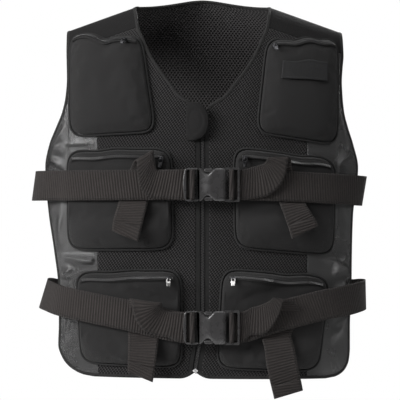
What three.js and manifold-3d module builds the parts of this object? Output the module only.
// Weighted vest with six padded pockets and two buckled webbing straps.
// Millimetres. +Z is up, -Y is the front, +X is the viewer's right.
// The origin lies between the two shoulder points beside the neck.
import * as THREE from 'three';
import { mergeVertices } from 'three/addons/utils/BufferGeometryUtils.js';
import manifoldModule from 'manifold-3d';

const solids = await manifoldModule();
solids.setup();

// Body form
const HALF_WIDTH = 275;
const FRONT_DEPTH = 120;
const BACK_DEPTH = 112;
const LENGTH = 622;
const BOXINESS = 2.4;
const NECK_HALF = 117;
const RIDGE_ROUND = 30;
const SHOULDER_SLOPE = 0.364;
const SHOULDER_DROP = 55;
const SHOULDER_ROUND = 0.6;
const CREST_GAP = 0.8;
const CREST_EASE = 1;

// Cloth
const MESH_THICK = 3;
const NYLON_THICK = 2;
const TAPE_THICK = 1.2;
const GAP = 0.4;
const SEAM_X = 174;
const BINDING_WIDTH = 6;
const BINDING_THICK = 4.4;

// Front zip
const ZIP_EDGE = 11;
const TEETH_HALF = 2.8;
const TEETH_THICK = 3;
const TEETH_ROWS = 46;
const ZIP_INSET = 4;
const HEM_DRIFT = 12;
const NOTCH_RISE = 13;
const NOTCH_HALF = 26;
const HEM_TILT = 3;

// Webbing
const WEB_WIDTH = 50;
const WEB_THICK = 2.2;
const WEB_REST = 1.5;
const LAYER_GAP = 1.3;
const SEAT = 11.5;
const SEAT_MARGIN = 19;
const SEAT_FADE = 30;
const SIDE_EASE = 3;
const BACK_REST = 5;
const FOLD_DIP = 10;

// Buckles
const BUCKLE_THICK = 12;
const BUCKLE_SHIFT = -4.8;
const SOCKET_LONG = 41.8;
const SOCKET_BACK = 9;
const ARM_LONG = 28.8;
const BAR_THICK = 4.4;
const SIDE_RAIL = 2.5;
const FRAME_WALL = 1;
const CORNER_CUT = 6;
const PLUG_FRAME = { near: 6.6, bar: 8.2, far: 5, rim: 6.4 };
const SOCKET_FRAME = { near: 5.2, bar: 8.2, far: 5.2, rim: 4.2 };

// Pockets and their zips
const PIPING_WIDTH = 4;
const PIPING_THICK = 4;
const POCKET_EDGE = 5;
const CHEST_BULGE = 22;
const BULGE = 28;
const ZIP_THICK = 1.6;
const SLIDER = { long: 9, wide: 8, base: 2.2, top: 6, loop: 3.2, eye: 1.35, eyeAt: 1, eyeUp: 3.9 };
const PULL = { long: 13, wide: 7, thick: 1.6, window: 4, windowLong: 3.2 };

// Sizes that follow from those above
const UNDER_LIFT = SEAT + 2 * GAP + WEB_REST + WEB_THICK / 2;
const BELT_LIFT = UNDER_LIFT + WEB_THICK + LAYER_GAP;
const TAIL_LIFT = WEB_THICK + GAP;
const BAR_LIFT = WEB_THICK / 2 + TAIL_LIFT + GAP;
const WRAP_RADIUS = WEB_THICK / 2 + LAYER_GAP;
const SEAT_HALF = WEB_WIDTH / 2 + SEAT_MARGIN;
const FOLD_RISE = BULGE - FOLD_DIP;
const SLOT_HALF = WEB_WIDTH / 2 + 2.5 * GAP;
const FRAME_HALF = SLOT_HALF + SIDE_RAIL;
const BUCKLE_HALF = FRAME_HALF - 2.5 * GAP;
const BODY_LEFT = BUCKLE_SHIFT;
const BODY_RIGHT = BUCKLE_SHIFT + SOCKET_LONG;
const STEP = HALF_WIDTH / 250;

// Colours read from the photograph
const material = (color, roughness, metalness = 0) =>
  new THREE.MeshStandardMaterial({ color, roughness, metalness });
const MESH_CLOTH = material('#2e2d2d', 0.9);
const NYLON_CLOTH = material('#3c3b3c', 0.45);
const YOKE_CLOTH = material('#232223', 0.8);
const POCKET_CLOTH = material('#2c2b2c', 0.75);
const BINDING_TAPE = material('#1d1c1c', 0.8);
const WEBBING = material('#34302e', 0.7);
const BUCKLE_PLASTIC = material('#1b1b1c', 0.35);
const ZIP_TAPE = material('#1a1a1a', 0.75);
const ZIP_COIL = material('#3a3a3b', 0.4);
const ZIP_METAL = material('#4b4b4d', 0.35, 0.8);
const PATCH_CLOTH = material('#242425', 0.6);

// Outline of each half from the shoulder crest to the hem.
// share: 0 at the crest, 1 at the hem. inner: neck edge, as a share of NECK_HALF,
// and 0 where the zip starts. left and right: armhole and side, as shares of HALF_WIDTH.
const OUTLINE = [
  { share: 0, inner: 1.009, left: 0.829, right: 0.855 },
  { share: 0.03, inner: 0.974, left: 0.825, right: 0.855 },
  { share: 0.07, inner: 0.94, left: 0.822, right: 0.855 },
  { share: 0.11, inner: 0.863, left: 0.818, right: 0.847 },
  { share: 0.155, inner: 0.769, left: 0.815, right: 0.84 },
  { share: 0.2, inner: 0.641, left: 0.822, right: 0.844 },
  { share: 0.245, inner: 0.487, left: 0.844, right: 0.855 },
  { share: 0.285, inner: 0.342, left: 0.884, right: 0.88 },
  { share: 0.33, inner: 0, left: 0.931, right: 0.916 },
  { share: 0.39, inner: 0, left: 0.96, right: 0.949 },
  { share: 0.45, inner: 0, left: 0.953, right: 0.938 },
  { share: 0.53, inner: 0, left: 0.935, right: 0.913 },
  { share: 0.64, inner: 0, left: 0.898, right: 0.905 },
  { share: 0.75, inner: 0, left: 0.869, right: 0.902 },
  { share: 0.86, inner: 0, left: 0.865, right: 0.891 },
  { share: 0.92, inner: 0, left: 0.869, right: 0.891 },
  { share: 0.955, inner: 0, left: 0.844, right: 0.884 },
  { share: 0.98, inner: 0, left: 0.778, right: 0.862 },
  { share: 1.0, inner: 0, left: 0.691, right: 0.771 },
];
const YOKE_ROW = 2;
const ZIP_ROW = 8;

// Back neckline dip, from the middle to the shoulder point, as shares of the length.
const BACK_NECK_DIP = 0.026;

// Pocket corners seen from the front, from the top left one clockwise.
// x as shares of HALF_WIDTH, z as shares of LENGTH, pull as a share of the half width of the pocket.
const POCKETS = [
  { name: 'chest_left', xa: -0.815, za: -0.08, xb: -0.36, zb: -0.096, xc: -0.269, zc: -0.355, xd: -0.811, zd: -0.367, bulge: CHEST_BULGE, pull: 0.62 },
  { name: 'chest_right', xa: 0.378, za: -0.1, xb: 0.833, zb: -0.093, xc: 0.825, zc: -0.391, xd: 0.313, zd: -0.357, bulge: CHEST_BULGE, pull: -0.88 },
  { name: 'waist_left', xa: -0.825, za: -0.395, xb: -0.178, zb: -0.391, xc: -0.167, zc: -0.667, xd: -0.818, zd: -0.67, bulge: BULGE, pull: 0.89 },
  { name: 'waist_right', xa: 0.178, za: -0.386, xb: 0.811, zb: -0.421, xc: 0.796, zc: -0.685, xd: 0.185, zd: -0.662, bulge: BULGE, pull: -0.88 },
  { name: 'hem_left', xa: -0.771, za: -0.72, xb: -0.12, zb: -0.712, xc: -0.113, zc: -0.981, xd: -0.738, zd: -0.971, bulge: BULGE, pull: 0.84 },
  { name: 'hem_right', xa: 0.109, za: -0.709, xb: 0.775, zb: -0.735, xc: 0.705, zc: -0.992, xd: 0.076, zd: -0.982, bulge: BULGE, pull: -0.86 },
];
const CORNER_ROUND = 0.17;
const ACROSS = [-1, -0.9, -0.6, -0.2, 0.2, 0.6, 0.9, 1];
const DOWN = [-1, -0.92, -0.72, -0.4, -0.1, 0.14, 0.5, 0.7, 0.82, 0.92, 1];
const ZIP_FROM = 8;
const PATCH = { from: 2, to: 5, low: 5, high: 6 };

// Strap heights along the front: x as a share of HALF_WIDTH, z as a share of LENGTH
const UPPER_BELT = [
  { x: -1.091, z: -0.494 },
  { x: -0.218, z: -0.492 },
  { x: 0.218, z: -0.492 },
  { x: 0.545, z: -0.497 },
  { x: 1.091, z: -0.51 },
];
const LOWER_BELT = [
  { x: -1.091, z: -0.778 },
  { x: -0.742, z: -0.81 },
  { x: -0.444, z: -0.836 },
  { x: -0.145, z: -0.868 },
  { x: 0.233, z: -0.868 },
  { x: 0.455, z: -0.838 },
  { x: 0.727, z: -0.809 },
  { x: 1.091, z: -0.786 },
];

// Linear reading of a table
function read(table, key, at, column) {
  const last = table.length - 1;
  if (at <= table[0][key]) {
    return table[0][column];
  }
  for (let i = 0; i < last; i += 1) {
    if (at <= table[i + 1][key]) {
      const span = table[i + 1][key] - table[i][key];
      const part = (at - table[i][key]) / span;
      return table[i][column] + (table[i + 1][column] - table[i][column]) * part;
    }
  }
  return table[last][column];
}
const smooth = (value) => {
  const s = Math.min(Math.max(value, 0), 1);
  return s * s * (3 - 2 * s);
};

// Body form: a boxy oval that closes over the shoulders
const ridge = (x) => (NECK_HALF - Math.hypot(x, RIDGE_ROUND)) * SHOULDER_SLOPE;
const swell = (drop) => (1 - Math.exp(-Math.max(drop, 0) / SHOULDER_DROP)) ** SHOULDER_ROUND;
const oval = (x) => (1 - Math.min(Math.abs(x) / HALF_WIDTH, 1) ** BOXINESS) ** (1 / BOXINESS);
const drift = (share) => -HEM_DRIFT * smooth((share - 0.86) / 0.14);
function heightAt(x, share) {
  const near = Math.max(0, 1 - Math.abs(x - drift(share)) / NOTCH_HALF);
  const tilt = HEM_TILT * x / HALF_WIDTH;
  return ridge(x) * (1 - share) - (LENGTH + tilt) * share + NOTCH_RISE * near * near * share ** 14;
}
function form(x, z, face) {
  const depth = face < 0 ? FRONT_DEPTH : BACK_DEPTH;
  return new THREE.Vector3(x, face * (CREST_GAP + depth * swell(ridge(x) - z) * oval(x)), z);
}
function skinNormal(x, z, face) {
  const top = Math.min(z + STEP, ridge(x));
  const across = form(x + STEP, z, face).sub(form(x - STEP, z, face));
  const up = form(x, top, face).sub(form(x, top - 2 * STEP, face));
  return across.cross(up).multiplyScalar(-face).normalize();
}
const skin = (x, z, out, face) => form(x, z, face).addScaledVector(skinNormal(x, z, face), out);

// Closed solid from corner points and triangles, turned so that its faces look outward
function closed(points, triangles) {
  let volume = 0;
  for (const [a, b, c] of triangles) {
    volume += points[a].dot(new THREE.Vector3().crossVectors(points[b], points[c]));
  }
  const order = volume < 0 ? triangles.map(([a, b, c]) => [a, c, b]) : triangles;
  const geometry = new THREE.BufferGeometry();
  geometry.setFromPoints(points);
  geometry.setIndex(order.flat());
  const flat = geometry.toNonIndexed();
  flat.computeVertexNormals();
  return flat;
}

// Slab between two grids of points with the same rows and columns
function slab(upper, lower) {
  const rows = upper.length;
  const columns = upper[0].length;
  const points = [...upper.flat(), ...lower.flat()];
  const low = rows * columns;
  const triangles = [];
  const quad = (a, b, c, d) => triangles.push([a, b, c], [a, c, d]);
  for (let r = 0; r < rows - 1; r += 1) {
    for (let c = 0; c < columns - 1; c += 1) {
      const at = r * columns + c;
      quad(at, at + 1, at + columns + 1, at + columns);
      quad(low + at, low + at + columns, low + at + columns + 1, low + at + 1);
    }
  }
  const rim = [];
  for (let c = 0; c < columns; c += 1) rim.push(c);
  for (let r = 1; r < rows; r += 1) rim.push(r * columns + columns - 1);
  for (let c = columns - 2; c >= 0; c -= 1) rim.push((rows - 1) * columns + c);
  for (let r = rows - 2; r > 0; r -= 1) rim.push(r * columns);
  for (let i = 0; i < rim.length; i += 1) {
    const a = rim[i];
    const b = rim[(i + 1) % rim.length];
    quad(b, a, low + a, low + b);
  }
  return closed(points, triangles);
}

// Bar swept through four-cornered sections, open with caps or joined into a ring
function sweep(sections, ring = false) {
  const sides = sections[0].length;
  const count = sections.length;
  const triangles = [];
  const steps = ring ? count : count - 1;
  for (let i = 0; i < steps; i += 1) {
    const j = (i + 1) % count;
    for (let k = 0; k < sides; k += 1) {
      const m = (k + 1) % sides;
      triangles.push([i * sides + k, i * sides + m, j * sides + m]);
      triangles.push([i * sides + k, j * sides + m, j * sides + k]);
    }
  }
  if (!ring) {
    const end = (count - 1) * sides;
    triangles.push([0, 2, 1], [0, 3, 2], [end, end + 1, end + 2], [end, end + 2, end + 3]);
  }
  return closed(sections.flat(), triangles);
}

// Edge strip beside a path on the skin: each stop holds a point and its normal
function edging(stops, gap, width, low, high, ring = false) {
  const count = stops.length;
  const sections = stops.map((stop, i) => {
    const before = stops[ring ? (i + count - 1) % count : Math.max(i - 1, 0)].point;
    const after = stops[ring ? (i + 1) % count : Math.min(i + 1, count - 1)].point;
    const along = after.clone().sub(before).normalize();
    const side = along.clone().cross(stop.normal).normalize();
    const place = (s, n) => stop.point.clone().addScaledVector(side, s).addScaledVector(stop.normal, n);
    return [place(gap, low), place(gap + width, low), place(gap + width, high), place(gap, high)];
  });
  return sweep(sections, ring);
}

// Webbing through stops that each hold both edges of the band
function webbing(stops) {
  const middle = stops.map((stop) => stop.a.clone().add(stop.b).multiplyScalar(0.5));
  const sections = stops.map((stop, i) => {
    const before = middle[Math.max(i - 1, 0)];
    const after = middle[Math.min(i + 1, stops.length - 1)];
    const along = after.clone().sub(before).normalize();
    const across = stop.b.clone().sub(stop.a).normalize();
    const normal = along.cross(across).normalize().multiplyScalar(WEB_THICK / 2);
    return [stop.a.clone().add(normal), stop.b.clone().add(normal), stop.b.clone().sub(normal), stop.a.clone().sub(normal)];
  });
  return sweep(sections);
}

// Boolean work on closed geometries
function toSolid(geometry) {
  const bare = geometry.clone();
  bare.deleteAttribute('normal');
  bare.deleteAttribute('uv');
  const merged = mergeVertices(bare, 1e-4);
  const vertProperties = new Float32Array(merged.attributes.position.array);
  const triVerts = new Uint32Array(merged.index.array);
  const mesh = new solids.Mesh({ numProp: 3, vertProperties, triVerts });
  mesh.merge();
  return new solids.Manifold(mesh);
}
function fromSolid(solid) {
  const mesh = solid.getMesh();
  const geometry = new THREE.BufferGeometry();
  geometry.setAttribute('position', new THREE.BufferAttribute(new Float32Array(mesh.vertProperties), 3));
  geometry.setIndex(new THREE.BufferAttribute(new Uint32Array(mesh.triVerts), 1));
  const flat = geometry.toNonIndexed();
  flat.computeVertexNormals();
  return flat;
}

const vest = new THREE.Group();
vest.name = 'weighted_vest';
function add(name, geometry, finish) {
  const mesh = new THREE.Mesh(geometry, finish);
  mesh.name = name;
  vest.add(mesh);
  return mesh;
}

// Cloth patch on the skin between two edge rules
function patch(rows, shares, place, thick, face, lift = 0) {
  const grid = (out) => rows.map((row) => shares.map((share) => {
    const [x, z] = place(row, share);
    return skin(x, z, out, face);
  }));
  return slab(grid(lift), grid(lift - thick));
}
const innerAt = (side, row) => {
  const { share, inner } = OUTLINE[row];
  return side * Math.max(ZIP_EDGE, NECK_HALF * inner) + (row >= ZIP_ROW ? drift(share) : 0);
};
function across(from, to) {
  return (row, share) => {
    const x = from(row) + (to(row) - from(row)) * share;
    return [x, heightAt(x, OUTLINE[row].share)];
  };
}
const outerAt = (side, row) => side * HALF_WIDTH * OUTLINE[row][side < 0 ? 'left' : 'right'];
const rowRange = (from, to) => Array.from({ length: to - from + 1 }, (_, i) => from + i);
const HEM_ROW = OUTLINE.length - 1;
const BODY_ROWS = rowRange(YOKE_ROW, HEM_ROW);
const YOKE_ROWS = rowRange(0, YOKE_ROW);
const MESH_COLUMNS = [0, 0.12, 0.3, 0.5, 0.75, 1];
const NYLON_COLUMNS = [0, 0.3, 0.6, 0.82, 1];
const YOKE_COLUMNS = [0, 0.2, 0.45, 0.7, 0.88, 1];
const SIDES = [{ name: 'left', side: -1 }, { name: 'right', side: 1 }];

// Front panels: shoulder yoke, mesh beside the zip and coated nylon at the side
for (const { name, side } of SIDES) {
  const neck = (row) => innerAt(side, row);
  const outer = (row) => outerAt(side, row);
  const seamIn = () => side * (SEAM_X - GAP / 2);
  const seamOut = () => side * (SEAM_X + GAP / 2);
  const lowered = (place, by) => (row, share) => {
    const [x, z] = place(row, share);
    return [x, z - (row === YOKE_ROW ? by : 0)];
  };
  add(`yoke_${name}`, patch(YOKE_ROWS, YOKE_COLUMNS, across(neck, outer), MESH_THICK, -1), YOKE_CLOTH);
  add(`front_mesh_${name}`, patch(BODY_ROWS, MESH_COLUMNS, lowered(across(neck, seamIn), GAP), MESH_THICK, -1), MESH_CLOTH);
  add(`side_nylon_${name}`, patch(BODY_ROWS, NYLON_COLUMNS, lowered(across(seamOut, outer), GAP), NYLON_THICK, -1), NYLON_CLOTH);
}

// Back panel: one piece of mesh from the crest to the hem
const BACK_COLUMNS = [-1, -0.9, -0.76, -0.62, -0.5, -0.36, -0.18, 0, 0.18, 0.36, 0.5, 0.62, 0.76, 0.9, 1];
const NECK_SHARE = 0.5;
const backTop = (u) => BACK_NECK_DIP * Math.max(0, 1 - (u / NECK_SHARE) ** 2);
function backAt(row, u) {
  const share = OUTLINE[row].share;
  const x = Math.abs(u) * outerAt(Math.sign(u) || 1, row);
  const lowered = share + backTop(u) * (1 - share);
  const tilt = HEM_TILT * x / HALF_WIDTH;
  return [x, ridge(x) * (1 - lowered) - (LENGTH + tilt) * lowered];
}
add('back_panel', patch(rowRange(0, HEM_ROW), BACK_COLUMNS, backAt, MESH_THICK, 1), MESH_CLOTH);

// Binding round the armholes, sides, rounded corners and hem
const stopAt = ([x, z], face) => ({ point: skin(x, z, -MESH_THICK / 2, face), normal: skinNormal(x, z, face) });
for (const { name, side } of SIDES) {
  const hem = HEM_ROW;
  const meshHem = across(() => innerAt(side, hem), () => side * SEAM_X);
  const nylonHem = across(() => side * SEAM_X, () => outerAt(side, hem));
  const stops = [
    ...MESH_COLUMNS.map((u) => stopAt(meshHem(hem, u), -1)),
    ...NYLON_COLUMNS.slice(1, -1).map((u) => stopAt(nylonHem(hem, u), -1)),
    ...rowRange(0, hem).reverse().map((row) => {
      const x = outerAt(side, row);
      return stopAt([x, heightAt(x, OUTLINE[row].share)], -1);
    }),
    ...rowRange(0, hem).map((row) => stopAt(backAt(row, side), 1)),
    ...BACK_COLUMNS.filter((u) => u > 0 && u < 1).reverse().map((u) => stopAt(backAt(hem, side * u), 1)),
    stopAt([side * GAP, -LENGTH], 1),
  ];
  const half = BINDING_THICK / 2;
  const path = side > 0 ? stops : [...stops].reverse();
  add(`edge_binding_${name}`, edging(path, GAP, BINDING_WIDTH, -half, half), BINDING_TAPE);
}

// Binding round the neck, one piece from zip top to zip top
{
  const frontNeck = (side) => rowRange(1, ZIP_ROW).map((row) => {
    const x = innerAt(side, row);
    return stopAt([x, heightAt(x, OUTLINE[row].share)], -1);
  });
  const crest = (side) => {
    const front = stopAt([innerAt(side, 0), heightAt(innerAt(side, 0), 0)], -1);
    const back = stopAt(backAt(0, side * NECK_SHARE), 1);
    const point = front.point.clone().lerp(back.point, 0.5);
    point.x = side * (Math.min(Math.abs(front.point.x), Math.abs(back.point.x)) - CREST_EASE);
    return { point, normal: front.normal.clone().add(back.normal).normalize() };
  };
  const inner = BACK_COLUMNS.filter((u) => Math.abs(u) < NECK_SHARE);
  const backNeck = inner.map((u) => stopAt(backAt(0, u), 1));
  const stops = [...frontNeck(-1).reverse(), crest(-1), ...backNeck, crest(1), ...frontNeck(1)];
  const half = BINDING_THICK / 2;
  add('neck_binding', edging(stops, GAP, BINDING_WIDTH, -half, half), BINDING_TAPE);
}

// Front zip: two tapes, the closed row of teeth, its slider and pull
const ZIP_ROWS = rowRange(ZIP_ROW, HEM_ROW);
for (const { name, side } of SIDES) {
  const place = (row, share) => {
    const shift = drift(OUTLINE[row].share);
    const from = TEETH_HALF + 2.5 * GAP;
    const x = shift + side * (from + (ZIP_EDGE - GAP - from) * share);
    return [x, heightAt(x, OUTLINE[row].share) - (row === ZIP_ROW ? ZIP_INSET : 0)];
  };
  add(`zip_tape_${name}`, patch(ZIP_ROWS, [0, 1], place, TAPE_THICK, -1), ZIP_TAPE);
}
const ZIP_TOP = OUTLINE[ZIP_ROW].share + 2 * ZIP_INSET / LENGTH;
{
  const place = (row, share) => {
    const at = ZIP_TOP + (1 - 0.006 - ZIP_TOP) * row / TEETH_ROWS;
    const half = TEETH_HALF - (row % 2) * 0.7;
    const x = drift(at) + half * (share * 2 - 1);
    return [x, heightAt(x, at)];
  };
  add('zip_teeth', patch(rowRange(0, TEETH_ROWS), [0, 1], place, TEETH_THICK, -1, 1), ZIP_COIL);
}

// Slider with an eye, built flat: x across, y outward, z up the zip
function sliderGeometry() {
  const base = new THREE.BoxGeometry(SLIDER.wide, SLIDER.base, SLIDER.long);
  base.translate(0, SLIDER.base / 2, 0);
  const arch = new THREE.Shape();
  const foot = SLIDER.long / 2 - 1;
  arch.moveTo(-foot, SLIDER.base - 0.6);
  arch.lineTo(foot, SLIDER.base - 0.6);
  arch.lineTo(foot, SLIDER.eyeUp);
  arch.lineTo(SLIDER.eyeAt + 1.4, SLIDER.top);
  arch.lineTo(SLIDER.eyeAt - 1.4, SLIDER.top);
  arch.lineTo(-foot, SLIDER.base + 0.6);
  arch.closePath();
  const eye = new THREE.Path();
  eye.absarc(SLIDER.eyeAt, SLIDER.eyeUp, SLIDER.eye, 0, Math.PI * 2, true);
  arch.holes.push(eye);
  const loop = new THREE.ExtrudeGeometry(arch, { depth: SLIDER.loop, bevelEnabled: false, curveSegments: 5 });
  loop.translate(0, 0, -SLIDER.loop / 2);
  loop.rotateY(Math.PI / 2);
  return fromSolid(toSolid(base).add(toSolid(loop)));
}
// Pull tab with a window at its top, hinged on the middle of its top bar
function pullGeometry() {
  const tab = new THREE.Shape();
  const half = PULL.wide / 2;
  const head = PULL.thick / 2;
  tab.moveTo(-half, head);
  tab.lineTo(half, head);
  tab.lineTo(half, -7);
  tab.lineTo(half - 1, -PULL.long);
  tab.lineTo(-half + 1, -PULL.long);
  tab.lineTo(-half, -7);
  tab.closePath();
  const window = new THREE.Path();
  const side = PULL.window / 2;
  window.moveTo(-side, -head);
  window.lineTo(-side, -head - PULL.windowLong);
  window.lineTo(side, -head - PULL.windowLong);
  window.lineTo(side, -head);
  window.closePath();
  tab.holes.push(window);
  const geometry = new THREE.ExtrudeGeometry(tab, { depth: PULL.thick, bevelEnabled: false });
  geometry.translate(0, 0, -PULL.thick / 2);
  geometry.rotateX(Math.PI / 2);
  return geometry;
}
const SLIDER_SHAPE = sliderGeometry();
const PULL_SHAPE = pullGeometry();
function placeSlider(name, point, acrossWay, outWay) {
  const upWay = acrossWay.clone().cross(outWay).normalize();
  const turn = new THREE.Matrix4().makeBasis(acrossWay, outWay, upWay);
  const slider = add(`${name}_slider`, SLIDER_SHAPE, ZIP_METAL);
  slider.quaternion.setFromRotationMatrix(turn);
  slider.position.copy(point);
  const pull = add(`${name}_pull`, PULL_SHAPE, ZIP_METAL);
  pull.quaternion.copy(slider.quaternion);
  pull.position.copy(point)
    .addScaledVector(outWay, SLIDER.eyeUp)
    .addScaledVector(upWay, -SLIDER.eyeAt);
}
{
  const z = heightAt(0, ZIP_TOP) - SLIDER.long / 2;
  placeSlider('zip', skin(0, z, 1 + GAP, -1), new THREE.Vector3(-1, 0, 0), skinNormal(0, z, -1));
}

// Flap over the zip top, sewn to the left front and arched over the slider
const FLAP = { left: 27, right: 10, above: 14, long: 63, rest: 0.5, arch: 12, thick: 2, rows: 9 };
{
  const rows = rowRange(0, FLAP.rows);
  const reach = FLAP.long / 2;
  const middle = heightAt(0, OUTLINE[ZIP_ROW].share) + FLAP.above - reach;
  const most = FLAP.left + FLAP.right;
  const at = (row, u, out) => {
    const turn = Math.PI * row / FLAP.rows;
    const width = most * (0.16 + 0.84 * Math.sin(turn) ** 0.7);
    const lift = FLAP.rest + FLAP.arch * Math.sin(Math.PI * u * 0.62) * Math.sin(turn) ** 0.5;
    return skin(width * u - FLAP.left, middle + reach * Math.cos(turn), lift + out, -1);
  };
  const columns = [0, 0.25, 0.5, 0.75, 1];
  const grid = (out) => rows.map((row) => columns.map((u) => at(row, u, out)));
  add('zip_flap', slab(grid(FLAP.thick), grid(0)), YOKE_CLOTH);
}

// Padded pockets: crowned forms with rounded corners, pressed in where a strap crosses
const beltAt = (table, x) => LENGTH * read(table, 'x', x / HALF_WIDTH, 'z');
function pocketPlace(pocket, s, t) {
  const inset = PIPING_WIDTH + 2 * GAP;
  const wide = HALF_WIDTH * (pocket.xb - pocket.xa) / 2;
  const high = LENGTH * (pocket.za - pocket.zd) / 2;
  const a = s * (1 - inset / wide) * Math.sqrt(1 - CORNER_ROUND * t * t);
  const b = t * (1 - inset / high) * Math.sqrt(1 - CORNER_ROUND * s * s);
  const between = (from, to, share) => from + (to - from) * share;
  const x = [between(pocket.xa, pocket.xb, (a + 1) / 2), between(pocket.xd, pocket.xc, (a + 1) / 2)];
  const z = [between(pocket.za, pocket.zb, (a + 1) / 2), between(pocket.zd, pocket.zc, (a + 1) / 2)];
  const down = (1 - b) / 2;
  return [HALF_WIDTH * between(x[0], x[1], down), LENGTH * between(z[0], z[1], down)];
}
function pocketHeight(pocket, s, t, z, x) {
  const crown = (1 - Math.abs(s) ** 7) * (1 - Math.abs(t) ** 6);
  const full = POCKET_EDGE + (pocket.bulge - POCKET_EDGE) * crown ** 0.7;
  const away = Math.min(Math.abs(z - beltAt(UPPER_BELT, x)), Math.abs(z - beltAt(LOWER_BELT, x)));
  const press = 1 - smooth((away - SEAT_HALF) / SEAT_FADE);
  return full - Math.max(0, full - SEAT) * press;
}
function pocketTop(pocket, s, t, out) {
  const [x, z] = pocketPlace(pocket, s, t);
  return skin(x, z, GAP + GAP + pocketHeight(pocket, s, t, z, x) + out, -1);
}
function pocketFloor(pocket, s, t) {
  const [x, z] = pocketPlace(pocket, s, t);
  return skin(x, z, 2 * GAP, -1);
}
function pocketNormal(pocket, s, t) {
  const right = pocketTop(pocket, s + 0.02, t, 0).sub(pocketTop(pocket, s - 0.02, t, 0));
  const up = pocketTop(pocket, s, t + 0.02, 0).sub(pocketTop(pocket, s, t - 0.02, 0));
  return right.cross(up).normalize();
}
for (const pocket of POCKETS) {
  const rows = [...DOWN].reverse();
  const upper = rows.map((t) => ACROSS.map((s) => pocketTop(pocket, s, t, 0)));
  const lower = rows.map((t) => ACROSS.map((s) => pocketFloor(pocket, s, t)));
  add(`pocket_${pocket.name}`, slab(upper, lower), POCKET_CLOTH);

  // Piping round the pocket's edge
  const rim = [
    ...ACROSS.slice(0, -1).map((s) => [s, 1]),
    ...rows.slice(0, -1).map((t) => [1, t]),
    ...[...ACROSS].reverse().slice(0, -1).map((s) => [s, -1]),
    ...[...rows].reverse().slice(0, -1).map((t) => [-1, t]),
  ];
  const stops = rim.map(([s, t]) => {
    const [x, z] = pocketPlace(pocket, s, t);
    return { point: skin(x, z, 2 * GAP, -1), normal: skinNormal(x, z, -1) };
  });
  add(`piping_${pocket.name}`, edging(stops.reverse(), GAP, PIPING_WIDTH, 0, PIPING_THICK, true), BINDING_TAPE);

  // Zip tape across the top of the pocket
  const spread = ACROSS.slice(1, -1);
  const strip = (out) => [DOWN[ZIP_FROM + 1], DOWN[ZIP_FROM]].map((t) => spread.map((s) =>
    pocketTop(pocket, s, t, 0).addScaledVector(pocketNormal(pocket, s, (DOWN[ZIP_FROM] + DOWN[ZIP_FROM + 1]) / 2), out)));
  add(`pocket_zip_${pocket.name}`, slab(strip(GAP + ZIP_THICK), strip(GAP)), ZIP_TAPE);

  // Slider and pull on the zip's last panel, at the end nearest the middle of the vest
  const [from, to] = pocket.pull > 0 ? ACROSS.slice(-3, -1) : ACROSS.slice(1, 3);
  const share = (pocket.pull - from) / (to - from);
  const edge = (t) => [from, to].map((s) => pocketTop(pocket, s, t, 0));
  const [lowFrom, lowTo] = edge(DOWN[ZIP_FROM]);
  const [highFrom, highTo] = edge(DOWN[ZIP_FROM + 1]);
  const low = lowFrom.clone().lerp(lowTo, share);
  const high = highFrom.clone().lerp(highTo, share);
  const level = lowFrom.clone().add(highFrom).sub(lowTo).sub(highTo).normalize();
  const outWay = high.clone().sub(low).cross(level).normalize();
  const seat = low.lerp(high, 0.5).addScaledVector(outWay, 2 * GAP + ZIP_THICK);
  placeSlider(pocket.name, seat, level, outWay);
}

// Bare patch on the right chest pocket
{
  const pocket = POCKETS[1];
  const rows = [DOWN[PATCH.high], DOWN[PATCH.low]];
  const columns = ACROSS.slice(PATCH.from, PATCH.to + 1);
  const grid = (out) => rows.map((t) => columns.map((s) => pocketTop(pocket, s, t, out)));
  add('blank_patch', slab(grid(GAP + 1.4), grid(GAP)), PATCH_CLOTH);
}

// Side-release buckle: a plug with two arms in a hollow socket, both with strap bars
function plate(shape, thick) {
  const geometry = new THREE.ExtrudeGeometry(shape, { depth: thick, bevelEnabled: false, curveSegments: 3 });
  geometry.translate(0, 0, -thick / 2);
  geometry.rotateX(Math.PI / 2);
  return geometry;
}
function cell(x0, x1, z0, z1, y0, y1) {
  const box = new THREE.BoxGeometry(x1 - x0, y1 - y0, z1 - z0);
  box.translate((x0 + x1) / 2, (y0 + y1) / 2, (z0 + z1) / 2);
  return toSolid(box);
}
function frameSolid(frame, edge, way) {
  const along = (d) => edge + way * d;
  const end = FRAME_WALL + frame.near + frame.bar + frame.far + frame.rim;
  const half = FRAME_HALF;
  const shape = new THREE.Shape();
  const from = way > 0 ? -3 : 0.4;
  shape.moveTo(along(from), -half);
  shape.lineTo(along(end - 3), -half);
  shape.lineTo(along(end), -half + 3);
  shape.lineTo(along(end), half - 3);
  shape.lineTo(along(end - 3), half);
  shape.lineTo(along(from), half);
  shape.closePath();
  const slot = (near, far) => {
    const ends = [along(near), along(far)].sort((p, q) => p - q);
    return cell(ends[0], ends[1], -SLOT_HALF, SLOT_HALF, -BAR_THICK, BAR_THICK);
  };
  const first = FRAME_WALL + GAP;
  const second = first + frame.near + frame.bar;
  return toSolid(plate(shape, BAR_THICK))
    .subtract(slot(first, first + frame.near))
    .subtract(slot(second, second + frame.far));
}
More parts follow.
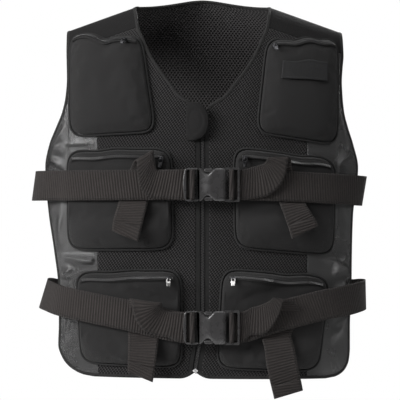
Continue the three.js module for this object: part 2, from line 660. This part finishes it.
function buckle(name, z) {
  const socketFrame = frameSolid(SOCKET_FRAME, BODY_RIGHT, 1);
  const body = cell(BODY_LEFT, BODY_RIGHT, -BUCKLE_HALF, BUCKLE_HALF, -BUCKLE_THICK / 2, BUCKLE_THICK / 2);
  const mouthHalf = BUCKLE_HALF * 0.895;
  const mouth = cell(BODY_LEFT - 1, BODY_RIGHT - SOCKET_BACK, -mouthHalf, mouthHalf, -BAR_THICK / 2 - GAP, BAR_THICK / 2 + GAP);
  const [windowFrom, windowTo] = [BODY_LEFT + SOCKET_LONG * 0.14, BODY_LEFT + SOCKET_LONG * 0.52];
  const [windowLow, windowHigh] = [BUCKLE_HALF * 0.58, BUCKLE_HALF * 0.85];
  const upperWindow = cell(windowFrom, windowTo, windowLow, windowHigh, -BUCKLE_THICK, 0);
  const lowerWindow = cell(windowFrom, windowTo, -windowHigh, -windowLow, -BUCKLE_THICK, 0);
  const corners = [[1, -1], [1, 1], [-1, -1], [-1, 1]].map(([h, v]) => {
    const box = new THREE.BoxGeometry(CORNER_CUT, 3 * BUCKLE_THICK, CORNER_CUT);
    box.rotateY(Math.PI / 4);
    box.translate(h > 0 ? BODY_RIGHT : BODY_LEFT, 0, v * BUCKLE_HALF);
    return toSolid(box);
  });
  let socket = body.subtract(corners[2]).subtract(corners[3]).add(socketFrame);
  socket = socket.subtract(mouth).subtract(upperWindow).subtract(lowerWindow);

  const armEnd = BODY_LEFT + ARM_LONG;
  const [armIn, armOut] = [BUCKLE_HALF * 0.604, BUCKLE_HALF * 0.865];
  const prong = (end, from, to) => cell(BODY_LEFT - 1, end, from, to, -BAR_THICK / 2, BAR_THICK / 2);
  const arms = prong(armEnd, armIn, armOut)
    .add(prong(armEnd, -armOut, -armIn))
    .add(prong(BODY_LEFT + ARM_LONG * 0.8, -BUCKLE_HALF * 0.15, BUCKLE_HALF * 0.15))
    .add(prong(BODY_LEFT + BAR_THICK / 2, -armOut, armOut));
  const plug = frameSolid(PLUG_FRAME, BODY_LEFT, -1).add(arms);

  const y = form(0, z, -1).y - BELT_LIFT - BAR_LIFT - BAR_THICK / 2;
  for (const [part, solid] of [['socket', socket], ['plug', plug]]) {
    const mesh = add(`buckle_${part}_${name}`, fromSolid(solid), BUCKLE_PLASTIC);
    mesh.position.set(0, y, z);
  }
  return y;
}
const UPPER_Z = beltAt(UPPER_BELT, 0);
const LOWER_Z = beltAt(LOWER_BELT, 0);
const upperY = buckle('upper', UPPER_Z);
const lowerY = buckle('lower', LOWER_Z);

// Straps: each band runs from tail to tail round both sides and across the back.
// Its free ends fold over in front of the pockets and hang.
// Edge a is the upper one and edge b the lower one as the band leaves the buckle, from the
// buckle's middle, as shares of WEB_WIDTH. rise: how far in front of the strap, as a share of
// FOLD_RISE. under: 1 where the band lies behind the strap.
const FOLDS = {
  upper_left: [
    { ax: -1.12, az: 0.5, bx: -1.2, bz: -0.46, rise: 0.14, under: 0 },
    { ax: -1.5, az: 0.5, bx: -1.68, bz: -0.44, rise: 0.22, under: 0 },
    { ax: -1.57, az: 0.78, bx: -1.96, bz: -0.24, rise: 0.44, under: 0 },
    { ax: -1.6, az: 1.04, bx: -2.12, bz: 0.28, rise: 0.72, under: 0 },
    { ax: -1.6, az: 1.14, bx: -2.16, bz: 0.8, rise: 0.78, under: 0 },
    { ax: -1.6, az: 1.1, bx: -2.22, bz: 0.78, rise: 0.5, under: 0 },
    { ax: -1.64, az: 0.88, bx: -2.36, bz: 0.54, rise: 0.11, under: 0 },
    { ax: -1.68, az: 0.16, bx: -2.54, bz: 0.02, rise: 0, under: 1 },
    { ax: -1.78, az: -0.5, bx: -2.74, bz: -0.5, rise: 0, under: 1 },
    { ax: -1.84, az: -0.76, bx: -2.8, bz: -0.72, rise: 0.11, under: 0 },
    { ax: -1.94, az: -1.18, bx: -2.9, bz: -1.06, rise: 0.53, under: 0 },
    { ax: -2.1, az: -1.84, bx: -2.96, bz: -1.48, rise: 0.78, under: 0 },
  ],
  upper_right: [
    { ax: 1.62, az: 0.58, bx: 1.72, bz: -0.46, rise: 0.14, under: 0 },
    { ax: 1.84, az: 0.64, bx: 2.14, bz: -0.36, rise: 0.22, under: 0 },
    { ax: 2.02, az: 0.7, bx: 2.54, bz: -0.04, rise: 0.44, under: 0 },
    { ax: 2.1, az: 0.8, bx: 2.76, bz: 0.48, rise: 0.72, under: 0 },
    { ax: 2.14, az: 0.88, bx: 2.82, bz: 0.9, rise: 0.78, under: 0 },
    { ax: 2.18, az: 0.84, bx: 2.9, bz: 0.88, rise: 0.5, under: 0 },
    { ax: 2.2, az: 0.64, bx: 2.92, bz: 0.64, rise: 0.11, under: 0 },
    { ax: 2.34, az: 0.08, bx: 3.12, bz: 0.08, rise: 0, under: 1 },
    { ax: 2.5, az: -0.5, bx: 3.36, bz: -0.5, rise: 0, under: 1 },
    { ax: 2.6, az: -0.76, bx: 3.44, bz: -0.7, rise: 0.11, under: 0 },
    { ax: 2.74, az: -1.16, bx: 3.58, bz: -0.92, rise: 0.53, under: 0 },
    { ax: 2.92, az: -1.74, bx: 3.78, bz: -1.32, rise: 0.78, under: 0 },
  ],
  lower_left: [
    { ax: -1.06, az: 0.52, bx: -1.12, bz: -0.34, rise: 0.14, under: 0 },
    { ax: -1.26, az: 0.62, bx: -1.58, bz: -0.26, rise: 0.22, under: 0 },
    { ax: -1.36, az: 0.72, bx: -1.94, bz: -0.08, rise: 0.5, under: 0 },
    { ax: -1.36, az: 0.78, bx: -2.24, bz: 0.38, rise: 0.83, under: 0 },
    { ax: -1.32, az: 0.82, bx: -2.34, bz: 0.88, rise: 0.94, under: 0 },
    { ax: -1.32, az: 0.78, bx: -2.38, bz: 0.94, rise: 0.67, under: 0 },
    { ax: -1.36, az: 0.62, bx: -2.4, bz: 0.78, rise: 0.17, under: 0 },
    { ax: -1.38, az: 0.2, bx: -2.44, bz: 0.32, rise: 0, under: 1 },
    { ax: -1.42, az: -0.26, bx: -2.44, bz: -0.24, rise: 0, under: 1 },
    { ax: -1.46, az: -0.56, bx: -2.44, bz: -0.5, rise: 0.17, under: 0 },
    { ax: -1.52, az: -1.06, bx: -2.44, bz: -0.86, rise: 0.61, under: 0 },
    { ax: -1.62, az: -1.74, bx: -2.44, bz: -1.42, rise: 0.67, under: 0 },
  ],
  lower_right: [
    { ax: 1.58, az: 0.64, bx: 1.58, bz: -0.26, rise: 0.14, under: 0 },
    { ax: 1.84, az: 0.72, bx: 1.98, bz: -0.24, rise: 0.28, under: 0 },
    { ax: 2.08, az: 0.82, bx: 2.3, bz: 0.06, rise: 0.56, under: 0 },
    { ax: 2.24, az: 0.92, bx: 2.54, bz: 0.52, rise: 0.89, under: 0 },
    { ax: 2.3, az: 0.98, bx: 2.66, bz: 0.88, rise: 1, under: 0 },
    { ax: 2.38, az: 0.94, bx: 2.92, bz: 0.88, rise: 0.72, under: 0 },
    { ax: 2.34, az: 0.74, bx: 3.18, bz: 0.62, rise: 0.22, under: 0 },
    { ax: 2.08, az: 0.26, bx: 3.16, bz: 0.2, rise: 0, under: 1 },
    { ax: 1.94, az: -0.3, bx: 2.92, bz: -0.3, rise: 0, under: 1 },
    { ax: 2.02, az: -0.62, bx: 3, bz: -0.6, rise: 0.22, under: 0 },
    { ax: 2.1, az: -1.24, bx: 3.1, bz: -1.12, rise: 0.72, under: 0 },
    { ax: 2.34, az: -2.3, bx: 3.28, bz: -2.04, rise: 0.56, under: 0 },
  ],
};
// Reach of the side loops past the body's edge
const LOOPS = {
  upper: { left: 28, right: 23 },
  lower: { left: 32, right: 32 },
};
// Stops of the loop from front to back: out as a share of its reach, depth as a share of the body's
const LOOP_STOPS = [
  { out: 0.62, depth: -0.5 },
  { out: 0.88, depth: -0.3 },
  { out: 1, depth: -0.083 },
  { out: 1, depth: 0.143 },
  { out: 0.85, depth: 0.375 },
  { out: 0.4, depth: 0.59 },
];
// Stops on the front and on the back, as shares of HALF_WIDTH
const FRONT_RUN = [0.19, 0.233, 0.305, 0.378, 0.451, 0.524, 0.589, 0.655, 0.72, 0.778, 0.833];
const BACK_RUN = [0.836, 0.785, 0.727, 0.655, 0.575, 0.487, 0.393, 0.291, 0.182, 0.065];

function band(name, table, buckleY, buckleZ) {
  const level = (x) => beltAt(table, x);
  const upright = (x, y, z) => {
    const slope = level(x + 4 * STEP) - level(x - 4 * STEP);
    const lean = new THREE.Vector3(-slope, 0, 8 * STEP).normalize().multiplyScalar(WEB_WIDTH / 2);
    const centre = new THREE.Vector3(x, y, z);
    return { a: centre.clone().add(lean), b: centre.clone().sub(lean) };
  };
  const flatBand = (x, y, z) => {
    const half = new THREE.Vector3(0, 0, WEB_WIDTH / 2);
    const centre = new THREE.Vector3(x, y, z);
    return { a: centre.clone().add(half), b: centre.clone().sub(half) };
  };
  const straight = (x, y) => {
    const half = new THREE.Vector3(0, 0, WEB_WIDTH / 2);
    const centre = new THREE.Vector3(x, y, buckleZ);
    return { a: centre.clone().add(half), b: centre.clone().sub(half) };
  };
  const half = (side) => {
    const frame = side < 0 ? PLUG_FRAME : SOCKET_FRAME;
    const edge = side < 0 ? BODY_LEFT : BODY_RIGHT;
    const nearSlot = FRAME_WALL + 0.4 + frame.near / 2;
    const farSlot = FRAME_WALL + 0.4 + frame.near + frame.bar + frame.far / 2;
    const at = (d) => edge + side * d;
    const beltY = buckleY + BAR_LIFT + BAR_THICK / 2;
    const tailY = beltY - TAIL_LIFT;
    const frontY = buckleY - BAR_THICK / 2 - WEB_THICK / 2 - 2 * GAP;
    const r = WRAP_RADIUS;
    const k = r * (1 - Math.SQRT1_2);

    // Free end, from its tip back to the buckle
    const tail = FOLDS[`${name}_${side < 0 ? 'left' : 'right'}`].map((row) => {
      const lift = BELT_LIFT + row.rise * FOLD_RISE - row.under * (WEB_THICK + LAYER_GAP);
      const place = (alongShare, upShare) => {
        const x = alongShare * WEB_WIDTH;
        const z = buckleZ + upShare * WEB_WIDTH;
        return new THREE.Vector3(x, form(x, z, -1).y - lift, z);
      };
      return { a: place(row.ax, row.az), b: place(row.bx, row.bz) };
    }).reverse();
    const wrap = [
      straight(at(farSlot + frame.rim + 3 * r), tailY),
      straight(at(farSlot + r), tailY),
      straight(at(farSlot + k), tailY - k),
      straight(at(farSlot), tailY - r),
      straight(at(farSlot), frontY + r),
      straight(at(farSlot - k), frontY + k),
      straight(at(farSlot - r), frontY),
      straight(at(nearSlot + r), frontY),
      straight(at(nearSlot + k), frontY + k),
      straight(at(nearSlot), frontY + r),
      straight(at(nearSlot), beltY - r),
      straight(at(nearSlot + k), beltY - k),
      straight(at(nearSlot + r), beltY),
    ];
    const front = FRONT_RUN.filter((share) => share * HALF_WIDTH > Math.abs(at(nearSlot + r)) + WEB_THICK).map((share) => {
      const x = side * share * HALF_WIDTH;
      const p = skin(x, level(x), BELT_LIFT - SIDE_EASE * smooth((share - 0.76) / 0.09), -1);
      return upright(p.x, p.y, level(x));
    });
    const sideZ = level(side * HALF_WIDTH);
    const column = side < 0 ? 'left' : 'right';
    const edgeX = HALF_WIDTH * read(OUTLINE, 'share', -sideZ / LENGTH, column);
    const bend = LOOP_STOPS.map((stop) => {
      const x = side * (edgeX + LOOPS[name][column] * stop.out);
      return upright(x, stop.depth * (stop.depth < 0 ? FRONT_DEPTH : BACK_DEPTH), level(x));
    });
    const backZ = (sideZ + level(-side * HALF_WIDTH)) / 2;
    const back = BACK_RUN.map((share) => {
      const x = side * share * HALF_WIDTH;
      const z = sideZ + (backZ - sideZ) * smooth((0.83 - share) / 0.36);
      const p = skin(x, z, BACK_REST + WEB_THICK / 2, 1);
      return flatBand(p.x, p.y, z);
    });
    return [...tail, ...wrap, ...front, ...bend, ...back];
  };
  const flip = (stops) => stops.map(({ a, b }) => ({ a, b })).reverse();
  add(`strap_${name}`, webbing([...half(-1), ...flip(half(1))]), WEBBING);
}
band('upper', UPPER_BELT, upperY, UPPER_Z);
band('lower', LOWER_BELT, lowerY, LOWER_Z);

export default vest;
